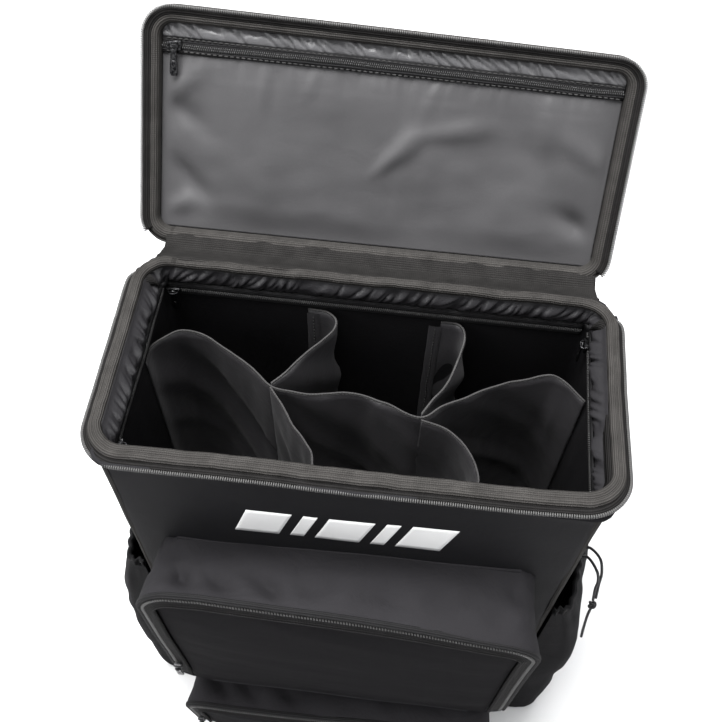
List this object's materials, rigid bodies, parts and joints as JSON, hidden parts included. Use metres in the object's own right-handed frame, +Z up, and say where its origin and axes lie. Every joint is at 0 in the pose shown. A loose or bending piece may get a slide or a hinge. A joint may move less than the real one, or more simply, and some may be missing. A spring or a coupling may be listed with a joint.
{
  "type": "drum stick bag",
  "caption": "Tall padded stick and mallet bag with a zipped fold-back lid, a divided main compartment, zipped front pockets and drawstring side pouches.",
  "frame": {"origin": "middle of the underside of the base, on the surface that the bag stands on", "axes": "+Z up, +Y from the pocket side towards the back, +X to the right when looking at the pockets"},
  "size_m": [0.4215, 0.3561, 0.6635],
  "materials": {
    "outer_fabric": "matt woven polyester, near black",
    "lining_fabric": "thin smooth nylon, black, faint sheen",
    "lid_lining": "thin crinkled nylon, dark grey, soft sheen",
    "binding_tape": "ribbed folded binding tape, dark warm grey, matt",
    "zip_tape": "woven zip tape with a nylon coil, dark grey",
    "zip_metal": "black enamelled die-cast metal, semi-gloss",
    "stiff_board": "black board covered in thin nylon",
    "cord": "soft braided cord, black",
    "print_ink": "flat white screen print"
  },
  "bodies": {
    "bag": {"base_panel": "outer_fabric", "base_board": "stiff_board", "front_panel": "outer_fabric", "back_panel": "outer_fabric", "left_panel": "outer_fabric", "right_panel": "outer_fabric", "body_lining": "lining_fabric", "corner_binding_left": "binding_tape", "corner_binding_right": "binding_tape", "rim_zip_tape": "zip_tape", "rim_binding": "binding_tape", "hinge_tape": "binding_tape", "inner_zip_back": "zip_tape", "inner_zip_left": "zip_tape", "inner_zip_right": "zip_tape", "long_divider": "lining_fabric", "cross_divider_back_left": "lining_fabric", "cross_divider_back_right": "lining_fabric", "cross_divider_front_left": "lining_fabric", "cross_divider_front_right": "lining_fabric", "upper_pocket_gusset": "outer_fabric", "upper_pocket_zip_outer": "zip_tape", "lower_pocket_gusset": "outer_fabric", "lower_pocket_zip_outer": "zip_tape", "left_pouch": "outer_fabric", "left_pouch_hem": "outer_fabric", "right_pouch": "outer_fabric", "right_pouch_hem": "outer_fabric", "drawcord_strand_front": "cord", "drawcord_strand_back": "cord", "drawcord_tail_long": "cord", "drawcord_tail_short": "cord", "drawcord_knot": "cord", "back_handle_strap": "binding_tape"},
    "lid": {"lid_panel": "outer_fabric", "lid_binding": "binding_tape", "lid_zip_tape": "zip_tape", "lid_lining_strip": "lid_lining", "lid_inner_zip": "zip_tape", "lid_pocket_sheet": "lid_lining"},
    "upper_pocket_flap": {"upper_pocket_panel": "outer_fabric", "upper_pocket_zip_inner": "zip_tape"},
    "lower_pocket_flap": {"lower_pocket_panel": "outer_fabric", "lower_pocket_zip_inner": "zip_tape"},
    "inner_zip_back_slider": {"inner_zip_back_slider": "zip_metal"},
    "inner_zip_back_pull": {"inner_zip_back_pull": "zip_metal"},
    "inner_zip_left_slider": {"inner_zip_left_slider": "zip_metal"},
    "inner_zip_left_pull": {"inner_zip_left_pull": "zip_metal"},
    "inner_zip_right_slider": {"inner_zip_right_slider": "zip_metal"},
    "inner_zip_right_pull": {"inner_zip_right_pull": "zip_metal"},
    "main_zip_left_slider": {"main_zip_left_slider": "zip_metal"},
    "main_zip_left_pull": {"main_zip_left_pull": "zip_metal"},
    "main_zip_right_slider": {"main_zip_right_slider": "zip_metal"},
    "main_zip_right_pull": {"main_zip_right_pull": "zip_metal"},
    "lid_inner_zip_slider": {"lid_inner_zip_slider": "zip_metal"},
    "lid_inner_zip_pull": {"lid_inner_zip_pull": "zip_metal"},
    "upper_pocket_zip_slider": {"upper_pocket_zip_slider": "zip_metal"},
    "upper_pocket_zip_pull": {"upper_pocket_zip_pull": "zip_metal"},
    "lower_pocket_zip_slider": {"lower_pocket_zip_slider": "zip_metal"},
    "lower_pocket_zip_pull": {"lower_pocket_zip_pull": "zip_metal"}
  },
  "joints": [
    {"name": "lid_hinge", "type": "hinge", "parent": "bag", "child": "lid", "pos_m": [0, 0.091, 0.519], "axis": [1, 0, 0], "range_deg": [-58, 121.5]},
    {"name": "upper_pocket_flap_hinge", "type": "hinge", "parent": "bag", "child": "upper_pocket_flap", "pos_m": [0, -0.13246, 0.17489], "axis": [1, 0, 0], "range_deg": [0, 118]},
    {"name": "lower_pocket_flap_hinge", "type": "hinge", "parent": "bag", "child": "lower_pocket_flap", "pos_m": [0, -0.13951, 0.01285], "axis": [1, 0, 0], "range_deg": [0, 90]},
    {"name": "inner_zip_back_travel", "type": "slide", "parent": "bag", "child": "inner_zip_back_slider", "axis": [1, 0, 0], "range_m": [0, 0.285]},
    {"name": "inner_zip_back_pull_swing", "type": "hinge", "parent": "inner_zip_back_slider", "child": "inner_zip_back_pull", "pos_m": [-0.1527, 0.07255, 0.5], "axis": [0, -1, 0], "range_deg": [-19, 80]},
    {"name": "inner_zip_left_travel", "type": "slide", "parent": "bag", "child": "inner_zip_left_slider", "axis": [0, 1, 0], "range_m": [0, 0.112]},
    {"name": "inner_zip_left_pull_swing", "type": "hinge", "parent": "inner_zip_left_slider", "child": "inner_zip_left_pull", "pos_m": [-0.15655, -0.062, 0.502], "axis": [1, 0, 0], "range_deg": [-40, 80]},
    {"name": "inner_zip_right_travel", "type": "slide", "parent": "bag", "child": "inner_zip_right_slider", "axis": [0, -1, 0], "range_m": [0, 0.112]},
    {"name": "inner_zip_right_pull_swing", "type": "hinge", "parent": "inner_zip_right_slider", "child": "inner_zip_right_pull", "pos_m": [0.15655, 0.062, 0.502], "axis": [-1, 0, 0], "range_deg": [-40, 80]},
    {"name": "main_zip_left_travel", "type": "slide", "parent": "bag", "child": "main_zip_left_slider", "axis": [0, -1, 0], "range_m": [0, 0.118]},
    {"name": "main_zip_left_pull_swing", "type": "hinge", "parent": "main_zip_left_slider", "child": "main_zip_left_pull", "pos_m": [-0.176, 0.058, 0.51875], "axis": [0, 0, -1], "range_deg": [-80, 12]},
    {"name": "main_zip_right_travel", "type": "slide", "parent": "bag", "child": "main_zip_right_slider", "axis": [0, -1, 0], "range_m": [0, 0.118]},
    {"name": "main_zip_right_pull_swing", "type": "hinge", "parent": "main_zip_right_slider", "child": "main_zip_right_pull", "pos_m": [0.176, 0.058, 0.51875], "axis": [0, 0, -1], "range_deg": [-12, 80]},
    {"name": "lid_inner_zip_travel", "type": "slide", "parent": "lid", "child": "lid_inner_zip_slider", "axis": [1, 0, 0], "range_m": [0, 0.295]},
    {"name": "lid_inner_zip_pull_swing", "type": "hinge", "parent": "lid_inner_zip_slider", "child": "lid_inner_zip_pull", "pos_m": [-0.157, 0.18667, 0.63712], "axis": [0, -0.8526, 0.5225], "range_deg": [-22, 80]},
    {"name": "upper_pocket_zip_travel", "type": "slide", "parent": "upper_pocket_flap", "child": "upper_pocket_zip_slider", "axis": [0, -0.0528, 0.9986], "range_m": [0, 0.15]},
    {"name": "upper_pocket_zip_pull_swing", "type": "hinge", "parent": "upper_pocket_zip_slider", "child": "upper_pocket_zip_pull", "pos_m": [-0.1416, -0.13991, 0.23358], "axis": [0, -0.9986, -0.0528], "range_deg": [-80, 80]},
    {"name": "lower_pocket_zip_travel", "type": "slide", "parent": "lower_pocket_flap", "child": "lower_pocket_zip_slider", "axis": [0, -0.0733, 0.9973], "range_m": [0, 0.06]},
    {"name": "lower_pocket_zip_pull_swing", "type": "hinge", "parent": "lower_pocket_zip_slider", "child": "lower_pocket_zip_pull", "pos_m": [-0.1416, -0.14693, 0.05441], "axis": [0, -0.9973, -0.0733], "range_deg": [-80, 80]}
  ]
}
